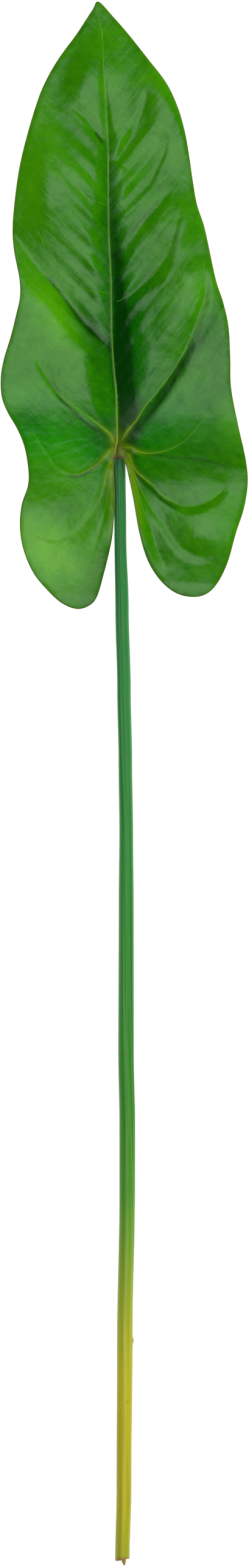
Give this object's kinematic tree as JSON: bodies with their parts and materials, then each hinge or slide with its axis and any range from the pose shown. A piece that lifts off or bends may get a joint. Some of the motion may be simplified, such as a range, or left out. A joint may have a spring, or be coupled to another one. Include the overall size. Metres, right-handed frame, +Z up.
{
  "type": "anthurium leaf",
  "caption": "Long heart-shaped anthurium leaf with sunk veins on a channelled cut stem, laid flat, face up.",
  "frame": {"origin": "centre of the leaf's box in X and Y, on the surface it lies on", "axes": "+Y from the cut end of the stem to the blade's tip, +X across the blade to the right as seen from above, +Z up"},
  "size_m": [0.1419, 0.899, 0.0233],
  "materials": {
    "leaf_blade": "deep green satin blade, glossy on its swellings, with fine yellow-green veins and an olive hub",
    "leaf_stem": "semi-gloss stem, teal green at the blade, fresh green along its middle and yellow towards the cut"
  },
  "bodies": {
    "root": {"blade": "leaf_blade", "stem": "leaf_stem"}
  },
  "joints": []
}
